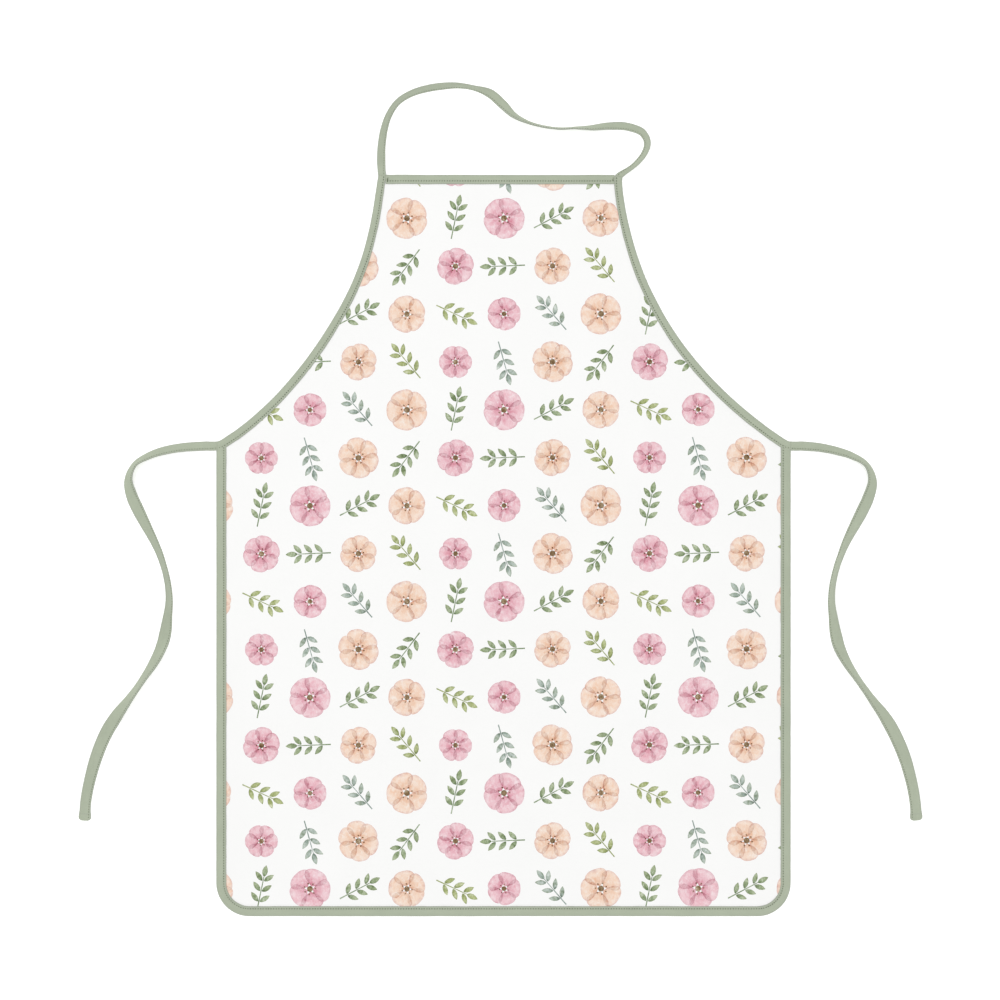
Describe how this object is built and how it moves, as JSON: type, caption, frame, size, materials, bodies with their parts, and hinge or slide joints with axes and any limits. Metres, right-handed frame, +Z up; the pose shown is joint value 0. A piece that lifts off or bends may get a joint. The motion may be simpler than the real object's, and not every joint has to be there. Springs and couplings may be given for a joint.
{
  "type": "bib apron",
  "caption": "Bib apron of printed cotton laid flat, edged in folded bias tape that runs on as the neck strap and the waist ties.",
  "frame": {"origin": "centre of the apron's box without its free strap and ties, on the surface that it lies on", "axes": "+Y from the hem to the bib, +Z up from the surface with the printed side up, +X to the right seen from above"},
  "size_m": [0.9099, 0.8996, 0.0125],
  "materials": {
    "printed_cotton": "plain-weave cotton, near white with an all-over flower print",
    "bias_tape": "sage green bias tape, folded and topstitched",
    "thread": "sewing thread, a shade darker than the tape"
  },
  "bodies": {
    "skirt": {"skirt_panel": "printed_cotton", "hem_binding": "bias_tape", "left_waist_binding": "bias_tape", "right_waist_binding": "bias_tape", "hem_stitching": "thread", "left_waist_stitching": "thread", "right_waist_stitching": "thread"},
    "bib": {"bib_panel": "printed_cotton", "top_binding": "bias_tape", "left_armhole_binding": "bias_tape", "right_armhole_binding": "bias_tape", "top_stitching": "thread", "left_armhole_stitching": "thread", "right_armhole_stitching": "thread", "left_top_back_tack": "thread", "right_top_back_tack": "thread"},
    "neck_loop": {"neck_strap": "bias_tape", "neck_strap_stitching": "thread"},
    "left_tie": {"left_waist_tie": "bias_tape", "left_tie_stitching": "thread"},
    "right_tie": {"right_waist_tie": "bias_tape", "right_tie_stitching": "thread"}
  },
  "joints": [
    {"name": "bib_fold", "type": "hinge", "parent": "skirt", "child": "bib", "pos_m": [0, 0.123, 0.009], "axis": [1, 0, 0], "range_deg": [0, 180]},
    {"name": "neck_loop_fold", "type": "hinge", "parent": "bib", "child": "neck_loop", "pos_m": [0, 0.40555, 0.007], "axis": [1, 0, 0], "range_deg": [0, 180]},
    {"name": "left_tie_fold", "type": "hinge", "parent": "skirt", "child": "left_tie", "pos_m": [-0.32115, 0.1022, 0.007], "axis": [0, 1, 0], "range_deg": [0, 180]},
    {"name": "right_tie_fold", "type": "hinge", "parent": "skirt", "child": "right_tie", "pos_m": [0.32115, 0.1022, 0.007], "axis": [0, -1, 0], "range_deg": [0, 180]}
  ]
}
